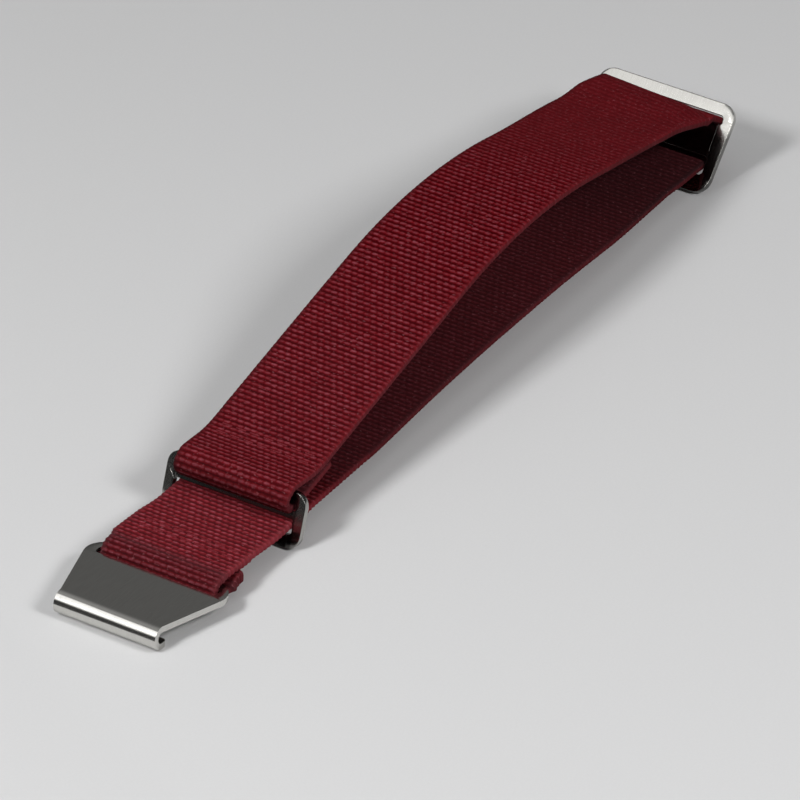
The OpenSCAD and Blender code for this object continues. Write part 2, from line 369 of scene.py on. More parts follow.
RIBS_AT = count_ribs()
ROWS = int(RIBS_AT[-1]) + SPARE_ROWS
COLUMNS = int(BAND_W / FLOAT_PITCH) + SPARE_COLUMNS
rng = np.random.default_rng(WEAVE_SEED)
FLOAT_LOUDNESS = rng.uniform(*FLOAT_LOUDNESS_RANGE, (2, ROWS, COLUMNS))
FLOAT_SHIFT = rng.normal(0, FLOAT_WANDER, (2, ROWS, COLUMNS))


def weave(ribs, across, face, share):
    """Height of the woven face, 0 in the grooves between ribs and 1 on the floats of yarn.

    Both places are counted in ribs and floats, and the floats of one rib stand between those of the next.
    """
    side = 1 if face == 0 else -1
    best = np.zeros(np.broadcast(ribs, across).shape)
    for row_step in (-1, 0, 1):
        row = np.round(ribs).astype(int) + row_step
        offset = 0.5 * (row % 2)
        column = np.round(across - offset).astype(int)
        for column_step in (-1, 0, 1):
            c = column + column_step
            r_index = np.clip(row, 0, ROWS - 1) + 0 * c
            c_index = np.clip(c + COLUMNS // 2, 0, COLUMNS - 1) + 0 * row
            d_across = across - offset - c
            d_ribs = ribs - row - FLOAT_SHIFT[face][r_index, c_index] + side * TWIST * d_across
            q = (d_ribs / FLOAT_HALF_W) ** 2 + np.abs(d_across / FLOAT_HALF_L) ** 3
            loud = FLOAT_LOUDNESS[face][r_index, c_index]
            best = np.maximum(best, loud * np.sqrt(np.clip(1 - q, 0, None)))
    from_rib = np.abs(ribs - np.round(ribs))
    rope = np.sqrt(np.clip(1 - (from_rib / 0.5) ** 2, 0, None))
    return (1 - share) * rope + share * best * np.sqrt(rope)


FACE_STEP = 0.25
LEFT_FACE, RIGHT_FACE, LEFT_WALL, RIGHT_WALL = range(4)


def section_corner(y, z, start, thirds, wall):
    """Some of the four points that divide a round corner of the section into thirds."""
    ways = [direction(start - 90 * i / 3) for i in thirds]
    return [(y + CORNER_R * n[0], z + CORNER_R * n[1], n[0], n[1], wall) for n in ways]


def cross_section():
    """Points round the webbing: place across and above its middle, the way each faces, and its face.

    The left face is on the left of the way that the strip runs in the side view.
    """
    half_w, half_t = BAND_W / 2 - CORNER_R, BAND_T / 2 - CORNER_R
    flat = np.linspace(-half_w, half_w, round(2 * half_w / FACE_STEP) + 1)
    return np.array([(y, BAND_T / 2, 0.0, 1.0, LEFT_FACE) for y in flat]
                    + section_corner(half_w, half_t, 90, (1, 2, 3), LEFT_WALL)
                    + section_corner(half_w, -half_t, 0, (0, 1, 2), LEFT_WALL)
                    + [(y, -BAND_T / 2, 0.0, -1.0, RIGHT_FACE) for y in flat[::-1]]
                    + section_corner(-half_w, -half_t, -90, (1, 2, 3), RIGHT_WALL)
                    + section_corner(-half_w, half_t, -180, (0, 1, 2), RIGHT_WALL))


SECTION = cross_section()
Y, Z, NY, NZ, FACE = SECTION.T[:, None, :]

# Depth of the weave, which is deeper on the outside of a sharp turn and flat where the band is pulled
DEPTH = 0.145
FRONT_DEPTH = 0.17
FOLD_DEPTH = 0.6
FAR_FLATTENING = 0.65
FLATTENED_X = (62, 104)
SHARP_TURN = (0.05, 0.35)
FACE_TILT = 0.01

# The woven edges: teeth at the ribs, and a selvedge that blends the weave into the side walls
TOOTH = 0.05
FRONT_TOOTH = 0.15
SELVEDGE_IN = 1.1
SELVEDGE_OUT = 0.5
SELVEDGE_SHARE = 0.5
SELVEDGE_RISE = 0.5
SELVEDGE_TOOTH = 0.2
WALL_RISE = 0.72
WALL_TOOTH = 0.06

# The cut end of the webbing bulges out beside the hook's rear bar, and is drawn in behind it
END_BULGE = 0.9
END_BULGE_X = (-16, -14.8, -12.8, -11.6)
END_BULGE_Y = (7, 10)
END_SWELL = 0.6
END_DRAWN_IN = 0.95
END_HIDDEN_X = (-12.4, -10.8)

# How far the edges lie off their straight places, and where along the band
NARROWING = 0.04
BUCKLE_ASIDE_LEFT = 0.8
BUCKLE_ASIDE_RIGHT = 0.3
BUCKLE_ASIDE_X = (85, 105, 112, 117)
LOWER_BOW = 0.8
LOWER_BOW_X = (35, 70, 88, 108)
TURN_SPREAD = 0.33
TURN_SPREAD_X = (106, 112)
SLIDER_PINCH = 0.1
SLIDER_SPREAD = 0.3
SLIDER_X = (2, 8)
HOOK_SPREAD = 0.45
HOOK_SPREAD_X = (-16.2, -14.5, -9, -3)
HOOK_SLOT_LEFT = 0.15
HOOK_SLOT_RIGHT = 0.2
HOOK_SLOT_X = (-17, -15)

# The shoulder above the buckle is lifted, most at its left edge, and its right edge curls down
SHOULDER_LIFT = 1.25
SHOULDER_LIFT_AT = (0.8, 3.4, 5, 16)
SHOULDER_LIFT_RIGHT = 0.25
SHOULDER_CURL = 1.0
SHOULDER_CURL_AT = (0.8, 2.6, 4, 14)
SHOULDER_CURL_Y = (5.5, 10.5)


def front_edge_places(place, x):
    """Places of the edges of the front band and of the sewn end under it."""
    in_slot = 1 - smooth(*HOOK_SLOT_X, x)
    at_slider = 1 - smooth(*SLIDER_X, np.abs(x))
    left = HOOK_SPREAD * hump(HOOK_SPREAD_X, x) - HOOK_SLOT_LEFT * in_slot
    right = -HOOK_SLOT_RIGHT * in_slot - SLIDER_SPREAD * at_slider
    drawn_in = END_DRAWN_IN * smooth(*END_HIDDEN_X, x)
    tail_right = -HOOK_SLOT_RIGHT * in_slot - END_BULGE * hump(END_BULGE_X, x) + drawn_in
    return left, np.where(place < HOOK_FOLD, tail_right, right)


def loop_edge_places(place, x):
    """Places of the edges of the lower run, the turn at the buckle and the upper run."""
    upper = place > TURN_END
    turn = (place > LOWER_END) & ~upper
    narrow = NARROWING * BAND_W / 2 * stretch_at(x, upper)
    bow = -LOWER_BOW * hump(LOWER_BOW_X, x)
    aside = hump(BUCKLE_ASIDE_X, x)
    pinch = SLIDER_PINCH * (1 - smooth(*SLIDER_X, np.abs(x)))
    left = np.where(upper, BUCKLE_ASIDE_LEFT * aside - pinch, bow) - narrow
    right = np.where(upper, BUCKLE_ASIDE_RIGHT * aside + pinch, bow) + narrow
    left, right = np.where(turn, TURN_SPREAD, left), np.where(turn, -TURN_SPREAD, right)
    spread = TURN_SPREAD * (place <= LOWER_END) * smooth(*TURN_SPREAD_X, x)
    return left + spread, right - spread


def edge_places(first, last):
    """How far the strip's two edges lie to the left of their straight places, ring by ring."""
    place = np.arange(first, last + 1)
    x = LINE[first:last + 1, 0]
    places = zip(front_edge_places(place, x), loop_edge_places(place, x))
    return [np.where(place < FRONT_END, in_front, in_loop)[:, None] for in_front, in_loop in places]


def pulled_flat(first, last):
    """Share by which the upper webbing is pulled flat, ring by ring."""
    place = np.arange(first, last + 1)
    return ((place > TURN_END) * smooth(*FLATTENED_X, LINE[first:last + 1, 0]))[:, None]


def lie(first, last):
    """How far the webbing lies off its middle line across its width, towards its left face."""
    off_bar = (AT[first:last + 1] - AT[TURN_END])[:, None]
    to_left = SHOULDER_LIFT_RIGHT + (1 - SHOULDER_LIFT_RIGHT) * (Y / BAND_W + 0.5)
    curl = hump(SHOULDER_CURL_AT, off_bar) * smooth(*SHOULDER_CURL_Y, -Y)
    return SHOULDER_CURL * curl - SHOULDER_LIFT * hump(SHOULDER_LIFT_AT, off_bar) * to_left


# Tone of the webbing: the dye's base, the changes to it, most of them painted shade, and where they are
BASE_TONE = 0.975
FRONT_TONE = 0.34
RELAXED_X = (0, 14)
# Painted shade on the faces inside the loop
INNER_PAINTED_SHADE = -0.49
INNER_X = (5, 20)
FACING = (-0.3, 0.3)
# Painted shade, deeper still, on the inside faces towards the buckle
BUCKLE_PAINTED_SHADE = -0.22
BUCKLE_TONE_X = (80, 108)
# Painted shade where the light falls off, on the pulled upper run towards the far buckle
FAR_PAINTED_SHADE = -0.1
# Painted shade on the swollen cut end beside the hook's rear bar
END_PAINTED_SHADE = -0.8
# Painted shade on the underside of the fold at the slider
FOLD_PAINTED_SHADE = -0.45
FOLD_TONE_A = (115, 218, 262, 280)
# Painted shade where the front band wraps the hook's rear bar
HOOK_PAINTED_SHADE = -0.62
HOOK_TONE_X = (-16.4, -14.2)
# Painted shade along the rounded left edges, and on the lower run's right edge
EDGE_PAINTED_SHADE = -0.38
EDGE_TONE_Y = (8.9, 9.8)
LOWER_EDGE_SHARE = 0.6

# Share by which the contrast between grooves and floats is calmed
MEAN_RISE = 0.68
LOOP_CALM = 0.12
FAR_CALM = 0.75
FRONT_CALM = 0.12
INNER_CALM = 0.15
END_CALM = 0.6

# Share of pale nap on the yarn
FRONT_FUZZ = 0.044
INNER_FUZZ = 0.05
LOW_FUZZ = 0.014
LOW_FUZZ_X = (15, 60)
FAR_FUZZ = 0.012
HOOK_FUZZ = 0.025
EDGE_FUZZ = 0.015
FRONT_EDGE_FUZZ = 0.04
EDGE_FUZZ_Y = (8.8, 9.8)


def zones(first, last):
    """Shares from 0 to 1 by which each point of the rings lies in the zones of the band."""
    place = np.arange(first, last + 1)[:, None]
    x = LINE[first:last + 1, 0][:, None]
    angle = angles_round(SLIDER_AXIS, LINE[first:last + 1])[:, None]
    front = place < FRONT_END
    return {
        "relaxed": front * (1 - smooth(*RELAXED_X, x)),
        "inner": np.where(front, smooth(*INNER_X, x), 1.0) * smooth(*FACING, NZ),
        "flat": pulled_flat(first, last),
        "buckle": smooth(*BUCKLE_TONE_X, x),
        "fold": (place > UPPER_END) * hump(FOLD_TONE_A, angle) * smooth(*FACING, -NZ),
        "hook": front * (1 - smooth(*HOOK_TONE_X, x)),
        "low": (place > TURN_END) * (1 - smooth(*LOW_FUZZ_X, x)),
        "lower": (place > FRONT_END) * (place < LOWER_END),
    }


def tone_with_painted_shade(zone, swollen):
    """Tone of the dye at each point of the rings, with painted shade inside the loop, near the buckle,
    towards the far end, on the cut end, under the fold at the slider, round the hook's bar and along the
    edges.
    """
    tone = BASE_TONE + FRONT_TONE * zone["relaxed"] + INNER_PAINTED_SHADE * zone["inner"]
    tone = tone + BUCKLE_PAINTED_SHADE * zone["inner"] * zone["buckle"] + FAR_PAINTED_SHADE * zone["flat"]
    tone = tone + END_PAINTED_SHADE * swollen + FOLD_PAINTED_SHADE * zone["fold"] + HOOK_PAINTED_SHADE * zone["hook"]
    right_edge = LOWER_EDGE_SHARE * zone["lower"] * smooth(*EDGE_TONE_Y, -Y)
    return tone + EDGE_PAINTED_SHADE * (smooth(*EDGE_TONE_Y, Y) + right_edge)


def colour_contrast(zone, swollen, folded):
    """Contrast between the colours of grooves and floats at each point of the rings."""
    loop = 1 - LOOP_CALM * (1 - zone["relaxed"])
    far = 1 - FAR_CALM * zone["flat"]
    front = 1 - FRONT_CALM * zone["relaxed"] * (1 - folded)
    inner = 1 - INNER_CALM * zone["inner"]
    return loop * far * front * inner * (1 - END_CALM * swollen)


def nap(zone, folded):
    """Share of pale nap at each point of the rings."""
    fuzz = FRONT_FUZZ * zone["relaxed"] * (1 - folded) + INNER_FUZZ * zone["inner"]
    fuzz = fuzz + FAR_FUZZ * zone["flat"] + LOW_FUZZ * zone["low"] + HOOK_FUZZ * zone["hook"]
    return fuzz + (EDGE_FUZZ + FRONT_EDGE_FUZZ * zone["relaxed"]) * smooth(*EDGE_FUZZ_Y, np.abs(Y))


def surface_rise(ribs, front, folded, tooth):
    """Height of the weave all round the rings, from the faces over the selvedges to the side walls."""
    share = np.where(front, FRONT_FLOAT_SHARE, FLOAT_SHARE)
    share = share + (FOLD_FLOAT_SHARE - share) * folded
    left, right = (weave(ribs, Y / FLOAT_PITCH, face, share) for face in (LEFT_FACE, RIGHT_FACE))
    rise = np.where(NZ > FACE_TILT, left, np.where(NZ < -FACE_TILT, right, 0.5 * (left + right)))
    near_edge = smooth(BAND_W / 2 - SELVEDGE_IN, BAND_W / 2 - SELVEDGE_OUT, np.abs(Y))
    selvedge = SELVEDGE_SHARE * near_edge
    wall = (FACE >= LEFT_WALL) * np.abs(NY)
    rise = rise * (1 - selvedge) + selvedge * (SELVEDGE_RISE + SELVEDGE_TOOTH * tooth)
    return rise * (1 - wall) + wall * (WALL_RISE + WALL_TOOTH * tooth)


def rings(first, last):
    """Points of the strip's rings, with the height of the weave, the tone and the nap at each."""
    span = slice(first, last + 1)
    place = np.arange(first, last + 1)[:, None]
    ribs, turn = RIBS_AT[span][:, None], TURN[span][:, None]
    front = place < FRONT_END
    folded = smooth(*SHARP_TURN, np.abs(turn))
    tooth = 0.5 + 0.5 * np.cos(2 * np.pi * ribs)
    rise = surface_rise(ribs, front, folded, tooth)
    outside = smooth(*SHARP_TURN, np.where(NZ > 0, -turn, turn))
    depth = np.where(front, FRONT_DEPTH, DEPTH) * (1 - FAR_FLATTENING * pulled_flat(first, last))
    drop = depth * (1 + FOLD_DEPTH * outside) * np.abs(NZ) * (1 - rise)
    swollen = hump(END_BULGE_X, LINE[span, :1]) * smooth(*END_BULGE_Y, -Y) * (place < HOOK_FOLD)
    left, right = edge_places(first, last)
    aside = right + (left - right) * (Y / BAND_W + 0.5)
    across = Y + aside - NY * np.where(front, FRONT_TOOTH, TOOTH) * (1 - tooth)
    above = Z * (1 + END_SWELL * swollen) - NZ * drop + lie(first, last)
    x = LINE[span, :1] - WAY[span, 1:] * above - MID_X
    height = LINE[span, 1:] + WAY[span, :1] * above
    zone = zones(first, last)
    shown = MEAN_RISE + (rise - MEAN_RISE) * colour_contrast(zone, swollen, folded)
    looks = {"rise": shown, "tone": tone_with_painted_shade(zone, swollen), "fuzz": nap(zone, folded)}
    return np.stack([x, across, height], 2), looks


# Share of the flat sheet that a tube's side takes, and the scale of its ends, one above the other beside it
SIDE_SHEET = 0.93
END_SHEET = 0.45


def tube_map(n_rings, n_round, at):
    """Places on a square sheet of the corners of a tube's faces and of its two ends."""
    u = SIDE_SHEET * (at - at[0]) / (at[-1] - at[0])
    gaps = np.linalg.norm(np.diff(np.vstack([SECTION[:, :2], SECTION[:1, :2]]), axis=0), axis=1)
    v = np.concatenate([[0], np.cumsum(gaps)]) / gaps.sum()
    i, j = np.meshgrid(np.arange(n_rings - 1), np.arange(n_round), indexing="ij")
    quads = np.stack([np.stack([u[i + a], v[j + b]], -1) for a, b in ((0, 0), (1, 0), (1, 1), (0, 1))], 2)
    end = SECTION[:, [1, 0]] / BAND_W * END_SHEET + [0.5 + SIDE_SHEET / 2, 0.25]
    return np.concatenate([quads.reshape(-1, 2), end, end[::-1] + [0, 0.5]])


def add_tube_faces(mesh, grid):
    """Quads between the rings of a grid of corners, and one face over each end."""
    near, far = grid[:-1], grid[1:]
    quads = np.stack([near, far, np.roll(far, -1, 1), np.roll(near, -1, 1)], 2).reshape(-1, 4)
    loops = np.concatenate([quads.ravel(), grid[0], grid[-1][::-1]])
    starts = np.concatenate([np.arange(len(quads)) * 4, [quads.size, quads.size + grid.shape[1]]])
    mesh.loops.add(len(loops))
    mesh.loops.foreach_set("vertex_index", loops.astype(np.int32))
    mesh.polygons.add(len(starts))
    mesh.polygons.foreach_set("loop_start", starts.astype(np.int32))
    mesh.update(calc_edges=True)
    mesh.validate()
    mesh.polygons.foreach_set("use_smooth", np.ones(len(mesh.polygons), bool))


def add_object(name, data):
    """New object in the scene's collection."""
    obj = bpy.data.objects.new(name, data)
    bpy.context.scene.collection.objects.link(obj)
    return obj


def webbing_mesh(name, first, last):
    """A closed tube of webbing between two of the strip's rings."""
    points, looks = rings(first, last)
    n_rings, n_round = points.shape[:2]
    mesh = bpy.data.meshes.new(name)
    mesh.vertices.add(n_rings * n_round)
    mesh.vertices.foreach_set("co", (points.reshape(-1, 3) * MM).ravel())
    add_tube_faces(mesh, np.arange(n_rings * n_round).reshape(n_rings, n_round))
    sheet = mesh.uv_layers.new(name="OFBake")
    sheet.data.foreach_set("uv", tube_map(n_rings, n_round, AT[first:last + 1]).ravel().astype(np.float32))
    looks["along"] = np.repeat(AT[first:last + 1], n_round)
    looks["across"] = np.tile(SECTION[:, 0], n_rings)
    for label, values in looks.items():
        layer = mesh.attributes.new(label, "FLOAT", "POINT")
        layer.data.foreach_set("value", values.ravel().astype(np.float32))
    return add_object(name, mesh)


# Seams: rows of stitches of plied thread, sunk in the webbing's face and diving into it at their ends
SEAM_ROWS = 2
ROW_PITCH = 2.4
STITCH_L = 1.7
STITCH_PITCH = 2.4
STITCH_POINTS = 37
THREAD_R = 0.14
THREAD_SIDES = 10
THREAD_SUNK = 0.15
THREAD_DIVE = 0.3
DIVE_FROM = 0.62
PLY = 0.75
PLY_DEPTH = 0.12
GROOVE_REACH = 4


def thread_line():
    """Middle line of one stitch on the webbing's face: place across, and height above the face."""
    t = np.linspace(-1, 1, STITCH_POINTS)
    across = STITCH_L / 2 * np.sin(np.pi / 2 * t)
    height = -THREAD_SUNK - THREAD_DIVE * smooth(DIVE_FROM, 1, np.abs(t))
    return np.stack([across, height], 1)


def swept_thread(line, along, up, origin):
    """Corners and faces of a plied thread swept along one stitch."""
    way = np.gradient(line, axis=0)
    way /= np.linalg.norm(way, axis=1)[:, None]
    at = np.concatenate([[0], np.cumsum(np.linalg.norm(np.diff(line, axis=0), axis=1))])
    a = np.linspace(0, 2 * np.pi, THREAD_SIDES, endpoint=False)[None, :]
    r = THREAD_R * (1 - PLY_DEPTH + PLY_DEPTH * np.abs(np.cos(a - np.pi * at[:, None] / PLY)))
    across = line[:, :1] - r * np.cos(a) * way[:, 1:]
    height = line[:, 1:] + r * np.cos(a) * way[:, :1]
    sideways = r * np.sin(a)
    points = (origin + np.multiply.outer(sideways, along) + np.multiply.outer(height, up)
              + np.multiply.outer(across, [0, 1, 0]))
    grid = np.arange(len(line) * THREAD_SIDES).reshape(len(line), THREAD_SIDES)
    near, far = grid[:-1], grid[1:]
    faces = np.stack([near, far, np.roll(far, -1, 1), np.roll(near, -1, 1)], 2).reshape(-1, 4).tolist()
    return points.reshape(-1, 3), faces + [grid[0].tolist(), grid[-1][::-1].tolist()]


def nearest_ring(point, first, last):
    return first + int(np.argmin(np.linalg.norm(LINE[first:last + 1] - point, axis=1)))


def ring_away(end_ring, first, last, distance):
    """Ring between two others that is nearest to a distance along the strip from its end."""
    away = np.abs(AT[first:last + 1] - AT[end_ring])
    return first + int(np.argmin(np.abs(away - distance)))


def groove_ring(ring):
    """Ring near another one that lies in the groove between two ribs."""
    near = np.arange(ring - GROOVE_REACH, ring + GROOVE_REACH + 1)
    return int(near[np.argmin(np.abs(RIBS_AT[near] % 1 - 0.5))])


def stitch_row(ring, side):
    """Corners and faces of each stitch of the row at a ring, on one side of the webbing."""
    way = WAY[ring]
    normal = side * left_of(way)
    surface = LINE[ring] + normal * BAND_T / 2
    along, up = np.array([way[0], 0, way[1]]), np.array([normal[0], 0, normal[1]])
    last = int((BAND_W - 2 * HEM - STITCH_L) / STITCH_PITCH)
    for i in range(last + 1):
        origin = np.array([surface[0] - MID_X, (i - last / 2) * STITCH_PITCH, surface[1]])
        yield swept_thread(thread_line(), along, up, origin)


def seam(name, tail, layer, side, end_ring):
    """Rows of stitches through a doubled end of the webbing, drawn in on both of its faces.

    The tail and the layer that it is sewn to are given by their first and last rings, and the side
    is 1 where the stitches show on the strip's left and -1 on its right.
    """
    points, faces = [], []
    for row in range(SEAM_ROWS):
        tail_ring = ring_away(end_ring, *tail, HEM + row * ROW_PITCH)
        for ring in (tail_ring, nearest_ring(LINE[tail_ring], *layer)):
            for corners, quads in stitch_row(groove_ring(ring), side):
                start = sum(len(p) for p in points)
                points.append(corners)
                faces += [[start + k for k in face] for face in quads]
    mesh = bpy.data.meshes.new(name)
    mesh.from_pydata([tuple(p) for p in np.concatenate(points) * MM], [], faces)
    mesh.polygons.foreach_set("use_smooth", np.ones(len(mesh.polygons), bool))
    return add_object(name, mesh)


def node(tree, kind, **values):
    """A node with its properties set, and its inputs where the value's name is an input's."""
    made = tree.nodes.new(kind)
    for key, value in values.items():
        key = key.replace("_", " ")
        if key in made.inputs:
            made.inputs[key].default_value = value
        else:
            setattr(made, key.replace(" ", "_"), value)
    return made


def attribute(tree, label):
    """Value that the mesh holds at each of its corners under a name."""
    return node(tree, "ShaderNodeAttribute", attribute_name=label).outputs["Fac"]


def scaled(tree, place, scale):
    """A place, scaled along each axis."""
    made = node(tree, "ShaderNodeMapping", Scale=scale)
    tree.links.new(place, made.inputs["Vector"])
    return made.outputs["Vector"]


def noise(tree, place, scale, detail, roughness=0.5):
    """Noise from 0 to 1 at a place."""
    made = node(tree, "ShaderNodeTexNoise", Scale=scale, Detail=detail, Roughness=roughness)
    tree.links.new(place, made.inputs["Vector"])
    return made.outputs["Fac"]


def remap(tree, value, span, to):
    """A value, clamped to one span and stretched to another."""
    made = node(tree, "ShaderNodeMapRange", From_Min=span[0], From_Max=span[1], To_Min=to[0], To_Max=to[1])
    tree.links.new(value, made.inputs["Value"])
    return made.outputs["Result"]


def calculate(tree, operation, *values):
    """Result of a sum, a product or the like."""
    made = node(tree, "ShaderNodeMath", operation=operation)
    for value, socket in zip(values, made.inputs):
        tree.links.new(value, socket)
    return made.outputs["Value"]


def dimmed(tree, colour, share):
    """A colour times a share."""
    made = node(tree, "ShaderNodeVectorMath", operation="SCALE")
    tree.links.new(colour, made.inputs[0])
    tree.links.new(share, made.inputs["Scale"])
    return made.outputs["Vector"]


def colour_ramp(tree, value, stops):
    """Colour that goes through stops of a place and a linear colour as a value rises."""
    made = node(tree, "ShaderNodeValToRGB")
    elements = made.color_ramp.elements
    elements[0].position, elements[0].color = stops[0]
    elements[1].position, elements[1].color = stops[-1]
    for position, colour in stops[1:-1]:
        elements.new(position).color = colour
    tree.links.new(value, made.inputs["Fac"])
    return made.outputs["Color"]


def add_bump(tree, shader, height, strength, distance):
    made = node(tree, "ShaderNodeBump", Strength=strength, Distance=distance)
    tree.links.new(height, made.inputs["Height"])
    tree.links.new(made.outputs["Normal"], shader.inputs["Normal"])


def srgb(code):
    """Linear colour of a #rrggbb code."""
    parts = [int(code[i:i + 2], 16) / 255 for i in (1, 3, 5)]
    return [c / 12.92 if c <= 0.04045 else ((c + 0.055) / 1.055) ** 2.4 for c in parts] + [1.0]


def new_material(name):
    material = bpy.data.materials.new(name)
    material.use_nodes = True
    return material, material.node_tree, material.node_tree.nodes["Principled BSDF"]


# Span that holds most of a noise's values
NOISE_SPAN = (0.3, 0.7)
# Colours from the grooves up to the floats: the yarn's red, with painted shade in the grooves and a painted
# pale sheen on the floats
WEAVE_COLOURS = ((0.0, "#220002"), (0.4, "#460005"), (0.7, "#601016"), (1.0, "#7e3c46"))
NAP_COLOUR = "#b07078"
FIBRE_SCALE = (9.0, 1.6, 1.0)
FIBRE_SHADES = (0.72, 1.28)
BLOTCH_SCALE = 0.35
BLOTCH_SHADES = (0.9, 1.1)
LINT_SCALE = (3.6, 1.7, 1.0)
LINT_SPAN = (0.62, 0.78)
LINT_SHARE = (0.0, 0.22)


def webbing_material():
    """Dyed yarn, with painted shade in the grooves and a painted sheen on the floats, and with fibres,
    blotches, lint and nap.
    """
    material, tree, shader = new_material("elastic_webbing")
    link = tree.links.new
    strip = node(tree, "ShaderNodeCombineXYZ")
    link(attribute(tree, "along"), strip.inputs["X"])
    link(attribute(tree, "across"), strip.inputs["Y"])
    place = strip.outputs["Vector"]
    colour = colour_ramp(tree, attribute(tree, "rise"), [(at, srgb(code)) for at, code in WEAVE_COLOURS])
    fibres = noise(tree, scaled(tree, place, FIBRE_SCALE), 1.0, 3.0, 0.6)
    blotches = noise(tree, place, BLOTCH_SCALE, 3.0)
    pattern = calculate(tree, "MULTIPLY", remap(tree, fibres, NOISE_SPAN, FIBRE_SHADES),
                        remap(tree, blotches, NOISE_SPAN, BLOTCH_SHADES))
    dyed = dimmed(tree, colour, calculate(tree, "MULTIPLY", pattern, attribute(tree, "tone")))
    lint = noise(tree, scaled(tree, place, LINT_SCALE), 1.0, 1.0, 0.4)
    pale = calculate(tree, "ADD", remap(tree, lint, LINT_SPAN, LINT_SHARE), attribute(tree, "fuzz"))
    mix = node(tree, "ShaderNodeMix", data_type="RGBA")
    factor, base, other, mixed = mix.inputs[0], mix.inputs[6], mix.inputs[7], mix.outputs[2]
    link(pale, factor)
    link(dyed, base)
    other.default_value = srgb(NAP_COLOUR)
    link(mixed, shader.inputs["Base Color"])
    add_bump(tree, shader, fibres, 0.35, 0.05 * MM)
    shader.inputs["Roughness"].default_value = 0.8
    shader.inputs["Sheen Weight"].default_value = 0.0
    shader.inputs["Specular IOR Level"].default_value = 0.03
    return material


THREAD_COLOURS = ((0.3, "#4c0a12"), (0.75, "#7c2630"))
THREAD_FIBRE_SCALE = 9000.0


def thread_material():
    material, tree, shader = new_material("sewing_thread")
    where = node(tree, "ShaderNodeTexCoord")
    fibres = noise(tree, where.outputs["Object"], THREAD_FIBRE_SCALE, 3.0)
    colour = colour_ramp(tree, fibres, [(at, srgb(code)) for at, code in THREAD_COLOURS])
    tree.links.new(colour, shader.inputs["Base Color"])
    add_bump(tree, shader, fibres, 0.3, 0.02 * MM)
    shader.inputs["Roughness"].default_value = 0.65
    shader.inputs["Specular IOR Level"].default_value = 0.15
    return material


STEEL = (0.60, 0.59, 0.56)
GRAIN_SCALE = (300, 4000, 300)
GRAIN_SHADES = (0.94, 1.04)
SMUDGE_SCALE = 140.0
SMUDGE_ROUGHNESS = (0.85, 1.2)
# What is left of the steel's colour under its painted shade and dark reflection, how far that fades out, and
# a half width that paints none
PAINTED_SHADE_LEFT = 0.35
PAINTED_SHADE_SIDE_FADE = 0.3
PAINTED_SHADE_TOP_FADE = 1.2
NO_PAINTED_SHADE = -1.0


def steel_material(name, shade, roughness, grain_bump, painted_shade_half_w=NO_PAINTED_SHADE, painted_shade_top=0.0):
    """Brushed steel, with painted shade and a painted dark reflection nearer its middle than a half width
    and below a height.
    """
    material, tree, shader = new_material(name)
    link = tree.links.new
    where = node(tree, "ShaderNodeTexCoord").outputs["Object"]
    grain = noise(tree, scaled(tree, where, GRAIN_SCALE), 1.0, 4.0, 0.65)
    smudges = noise(tree, where, SMUDGE_SCALE, 3.0)
    rough = remap(tree, smudges, NOISE_SPAN, [roughness * share for share in SMUDGE_ROUGHNESS])
    link(rough, shader.inputs["Roughness"])
    stops = [(at, [c * shade * light for c in STEEL] + [1]) for at, light in zip(NOISE_SPAN, GRAIN_SHADES)]
    colour = colour_ramp(tree, grain, stops)
    # Painted shade and a painted dark reflection: between the webbing's edges on the slider's bars, and
    # below the buckle's top bar
    place = node(tree, "ShaderNodeSeparateXYZ")
    link(where, place.inputs["Vector"])
    beside = calculate(tree, "ABSOLUTE", place.outputs["Y"])
    unshaded = calculate(
        tree, "MAXIMUM",
        remap(tree, beside, (painted_shade_half_w * MM, (painted_shade_half_w + PAINTED_SHADE_SIDE_FADE) * MM), (0.0, 1.0)),
        remap(tree, place.outputs["Z"], (painted_shade_top * MM, (painted_shade_top + PAINTED_SHADE_TOP_FADE) * MM), (0.0, 1.0)))
    link(dimmed(tree, colour, remap(tree, unshaded, (0.0, 1.0), (PAINTED_SHADE_LEFT, 1.0))), shader.inputs["Base Color"])
    add_bump(tree, shader, grain, grain_bump, 0.02 * MM)
    shader.inputs["Metallic"].default_value = 1.0
    return material


WELD_GAP = 0.002
BEVEL_SEGMENTS = 3
SHARP_EDGE = 35


def dress_plate(name, material, edge):
    """Gives a steel node its material and the small round edges of a tumbled stamping."""
    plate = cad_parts[name]
    plate.data.materials.clear()
    plate.data.materials.append(material)
    plate.data.polygons.foreach_set("use_smooth", np.ones(len(plate.data.polygons), bool))
    weld = plate.modifiers.new("weld", "WELD")
    weld.merge_threshold = WELD_GAP * MM
    bevel = plate.modifiers.new("edges", "BEVEL")
    bevel.width = edge * MM
    bevel.segments = BEVEL_SEGMENTS
    bevel.limit_method = "ANGLE"
    bevel.angle_limit = math.radians(SHARP_EDGE)
    normals = plate.modifiers.new("normals", "WEIGHTED_NORMAL")
    normals.keep_sharp = False


def build_plates():
    # The slider's and the buckle's steel are darker copies of the hook's: a painted dark reflection on the
    # slider, and a dimmer painted reflection on the buckle's top bar
    hook_steel = steel_material("hook_steel", shade=1.0, roughness=0.14, grain_bump=0.04)
    slider_steel = steel_material("slider_steel", shade=0.63, roughness=0.14, grain_bump=0.01,
                                  painted_shade_half_w=10.5, painted_shade_top=20.0)
    buckle_steel = steel_material("buckle_steel", shade=0.8, roughness=0.12, grain_bump=0.015,
                                  painted_shade_half_w=20.0, painted_shade_top=7.4)
    dress_plate("hook_plate", hook_steel, edge=0.08)
    dress_plate("slider_frame", slider_steel, edge=0.07)
    dress_plate("far_buckle", buckle_steel, edge=0.14)


# Where the runs are cut in two, and a place near the buckle that is passed to bake_transform, which does not
# use it
LOWER_CUT_X = 60
UPPER_CUT_X = 62
BLEND_END_X = 112


